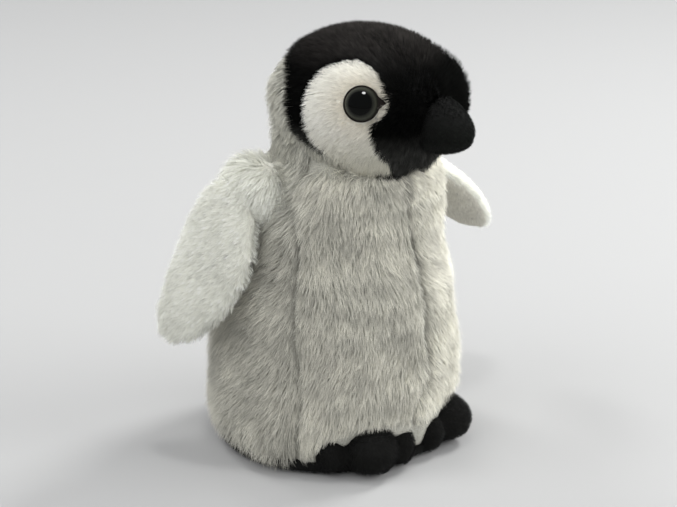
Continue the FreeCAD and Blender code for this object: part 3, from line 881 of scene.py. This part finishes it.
for side, sg in (("left", 1), ("right", -1)):
    root, sweep, lift_deg = POSE[side]
    S = turn((1, 0, 0), sweep)
    hinge = S @ np.array([0, 1.0, 0])
    M = turn(hinge, -sg * lift_deg) @ S
    us = np.concatenate([np.linspace(-7.2, 0, 6), np.linspace(4, 70, 20), [74, 77, 79.0]])
    t = np.linspace(0, 2 * np.pi, 40, endpoint=False)
    P = np.zeros((len(us), len(t), 3))
    at_u, half_w, half_h = zip(*FLIP)
    for i, u in enumerate(us):
        w = max(smooth(np.array([u]), at_u, half_w)[0] - FLIPPER_PILE, 1.2)
        h = max(smooth(np.array([u]), at_u, half_h)[0] - FLIPPER_PILE, 0.7)
        bow = 5.0 * math.sin(math.pi * max(u, 0) / SPAN) - 2.5 * max(u, 0) / SPAN
        P[i, :, 0] = h * np.cos(t) * np.abs(np.sin(t) ** 2 * 0.2 + 0.8)
        P[i, :, 1] = -bow + w * np.sin(t)
        P[i, :, 2] = -u
    o = grid_mesh("flipper_pad_" + side, P @ M.T + root)
    stuffed(o, voxel=3.0, cap=0.8)
    dress(o, SKIN_WHITE, "flipper_" + side, ("flipper_stuffing_" + side,))
    fp, fn = Skin(o).scatter(6.0, 60)
    outward = (fn @ M)[:, 0] * sg
    tipward = M @ np.array([0, 0, -1.0])
    edge_dir = M @ np.array([0, 1.0, 0])
    comb = np.tile(tipward, (len(fp), 1)) + edge_dir * (0.25 * waves(fp, 9, 62)[:, None] + 0.25)
    # the outer pile wraps a few millimetres round on to the inner side
    outer = outward > -0.55
    rim = np.exp(-(outward[outer] / 0.5) ** 2)
    a = grow("flipper_fur_outer_" + side, fp[outer], fn[outer], comb[outer], 3.8 + 1.2 * rim, 0.25, 44,
             230 + sg, flipper_white, clump=0.4, clump_size=10, segments=2, wave=0.5)
    dress(a, FUR_LIGHT, "flipper_" + side, ("flipper_outer_" + side,))
    a = grow("flipper_fur_inner_" + side, fp[~outer], fn[~outer], comb[~outer], 1.8, 0.25, 40,
             240 + sg, flipper_inner, clump=0.3, clump_size=8, segments=2, wave=0.2)
    dress(a, FUR_LIGHT, "flipper_" + side, ("flipper_inner_" + side,))

    # the pile closes over the sewn root and runs up on to the shoulder
    at = root + np.array([-sg * 12.0, -3.0, 1.5])
    half = {"left": (11.0, 14.0, 11.5), "right": (12.5, 16.0, 14.0)}[side]
    pad = grid_mesh("shoulder_pad_" + side, blob(at, half, 0, n=16))
    stuffed(pad, voxel=2.6, cap=0.6)
    across = ("flipper_" + side, tuple(root + np.array([-sg * 12.0, 0, 0])),
              tuple(root + np.array([sg * 2.0, 0, 0])))
    dress(pad, SKIN_WHITE, "torso", (), bend=across)
    fp, fn = Skin(pad).scatter(4.5, 66)
    comb = np.tile(tipward, (len(fp), 1)) + edge_dir * (0.25 * waves(fp, 9, 67)[:, None])
    a = grow("shoulder_fur_" + side, fp, fn, comb, 9.0, 0.27, 24, 250 + sg, shoulder_fur,
             clump=0.45, clump_size=10, wave=0.8)
    dress(a, FUR_LIGHT, "torso", (), bend=across)


# ------------------------------------------------------------------ eyes
def eye_material(side):
    """Dark pupil, a grey ring that is a painted reflection round the dome's edge, and a dark edge, by the
    distance from the eye's own axis.
    """
    e, en = eyes[side]
    m, nt, bsdf, out = nodes_of("eye_glass_" + side)
    tex = nt.nodes.new("ShaderNodeTexCoord")
    sub = nt.nodes.new("ShaderNodeVectorMath")
    sub.operation = "SUBTRACT"
    sub.inputs[1].default_value = tuple((e * MM).tolist())
    cross = nt.nodes.new("ShaderNodeVectorMath")
    cross.operation = "CROSS_PRODUCT"
    cross.inputs[1].default_value = tuple(en.tolist())
    length = nt.nodes.new("ShaderNodeVectorMath")
    length.operation = "LENGTH"
    ramp = nt.nodes.new("ShaderNodeMapRange")
    ramp.inputs["From Max"].default_value = 0.0079
    cr = nt.nodes.new("ShaderNodeValToRGB")
    el = cr.color_ramp.elements
    el[0].position, el[0].color = 0.0, (0.0015, 0.0018, 0.0015, 1)
    el[1].position, el[1].color = 1.0, (0.003, 0.003, 0.003, 1)
    # painted reflection: the grey ring stands for the reflection round the edge of the eye's dome
    for pos, c in ((0.66, (0.0010, 0.0012, 0.0010, 1)), (0.77, (0.017, 0.018, 0.014, 1)),
                   (0.88, (0.036, 0.037, 0.028, 1)), (0.96, (0.018, 0.018, 0.014, 1))):
        q = el.new(pos)
        q.color = c
    noise = nt.nodes.new("ShaderNodeTexNoise")
    noise.inputs["Scale"].default_value = 1500
    mixn = nt.nodes.new("ShaderNodeMapRange")
    mixn.inputs["To Min"].default_value, mixn.inputs["To Max"].default_value = 0.8, 1.2
    scale = nt.nodes.new("ShaderNodeVectorMath")
    scale.operation = "SCALE"
    nt.links.new(tex.outputs["Object"], sub.inputs[0])
    nt.links.new(sub.outputs[0], cross.inputs[0])
    nt.links.new(cross.outputs[0], length.inputs[0])
    nt.links.new(length.outputs["Value"], ramp.inputs["Value"])
    nt.links.new(ramp.outputs["Result"], cr.inputs["Fac"])
    nt.links.new(tex.outputs["Object"], noise.inputs["Vector"])
    nt.links.new(noise.outputs["Fac"], mixn.inputs["Value"])
    nt.links.new(cr.outputs["Color"], scale.inputs[0])
    nt.links.new(mixn.outputs["Result"], scale.inputs["Scale"])
    nt.links.new(scale.outputs["Vector"], bsdf.inputs["Base Color"])
    bsdf.inputs["Roughness"].default_value = 0.05
    bsdf.inputs["IOR"].default_value = 1.2
    return m


RIM = cloth_material("eye_backing_cloth", (0.007, 0.0048, 0.0035), sheen=0.0, vary=0.35, scale=2500)
WASHER = cloth_material("washer_plastic", (0.75, 0.75, 0.74), sheen=0.0, vary=0.03, scale=600,
                        rough=0.4, bump=0.05)
for side in ("left", "right"):
    for node, mat in (("eye_", eye_material(side)), ("eye_rim_", RIM), ("eye_washer_", WASHER)):
        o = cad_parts[node + side]
        o.data.materials.clear()
        o.data.materials.append(mat)

# ------------------------------------------------------------------ stage, light, camera
fm, nt, bsdf, out = nodes_of("studio_floor")
bsdf.inputs["Base Color"].default_value = (0.36, 0.36, 0.356, 1)
bsdf.inputs["Roughness"].default_value = 0.9
bsdf.inputs["Specular IOR Level"].default_value = 0.1
me = bpy.data.meshes.new("floor")
FLOOR_HALF, FLOOR_Z = 6, -0.0003        # metres
me.from_pydata([(x * FLOOR_HALF, y * FLOOR_HALF, FLOOR_Z) for x, y in ((-1, -1), (1, -1), (1, 1), (-1, 1))],
               [], [(0, 1, 2, 3)])
floor = new_object("floor", me)
floor.data.materials.append(fm)

world = bpy.data.worlds.new("studio") if bpy.context.scene.world is None else bpy.context.scene.world
bpy.context.scene.world = world
world.use_nodes = True
bg = world.node_tree.nodes.get("Background") or world.node_tree.nodes.new("ShaderNodeBackground")
bg.inputs["Color"].default_value = (0.93, 0.95, 1.0, 1)
bg.inputs["Strength"].default_value = 0.45

CAM_AZ, CAM_EL = math.radians(-48.0), math.radians(20.0)
CAM_TARGET = Vector((0.0017, -0.0019, 0.092))
CAM_DISTANCE = 1.25
toward = Vector((math.sin(CAM_AZ) * math.cos(CAM_EL), -math.cos(CAM_AZ) * math.cos(CAM_EL),
                 math.sin(CAM_EL)))
right = Vector((math.cos(CAM_AZ), math.sin(CAM_AZ), 0))


def lamp(name, x, y, z, size, power):
    """Area lamp placed relative to the camera: x to its right, y towards it, z up, in metres."""
    flat = Vector((toward.x, toward.y, 0)).normalized()
    at = right * x + flat * y + Vector((0, 0, z))
    data = bpy.data.lights.new(name, "AREA")
    data.shape = "DISK"
    data.size, data.energy = size, power
    o = bpy.data.objects.new(name, data)
    o.location = at
    o.rotation_euler = (Vector((0, 0, 0.1)) - at).to_track_quat("-Z", "Y").to_euler()
    bpy.context.scene.collection.objects.link(o)
    return o


glint = lamp("glint", 0.06, 0.1, 1.5, 0.38, 28)   # the one highlight in the eyes
glint.visible_diffuse = False
# the others light the toy and leave no reflection in the eyes
for name, x, y, z, size, power in (
        ("overhead", 0.0, 0.1, 1.5, 0.22, 4.5),
        ("back_left", -0.75, -0.7, 1.15, 0.4, 7), ("back_right", 0.75, -0.6, 1.05, 0.4, 15),
        ("left_soft", -1.4, 0.6, 1.5, 1.8, 16), ("right_soft", 1.7, 0.2, 0.8, 1.6, 32),
        ("front_fill", -0.3, 2.2, 1.3, 3.4, 36)):
    lamp(name, x, y, z, size, power).visible_glossy = False

cam_data = bpy.data.cameras.new("camera")
cam_data.lens, cam_data.sensor_width = 138.2, 36.0      # mm
cam_data.clip_end = 50
cam = bpy.data.objects.new("camera", cam_data)
cam.location = CAM_TARGET + toward * CAM_DISTANCE
cam.rotation_euler = (-toward).to_track_quat("-Z", "Y").to_euler()
bpy.context.scene.collection.objects.link(cam)
bpy.context.scene.camera = cam
bpy.context.scene.view_settings.view_transform = "Standard"

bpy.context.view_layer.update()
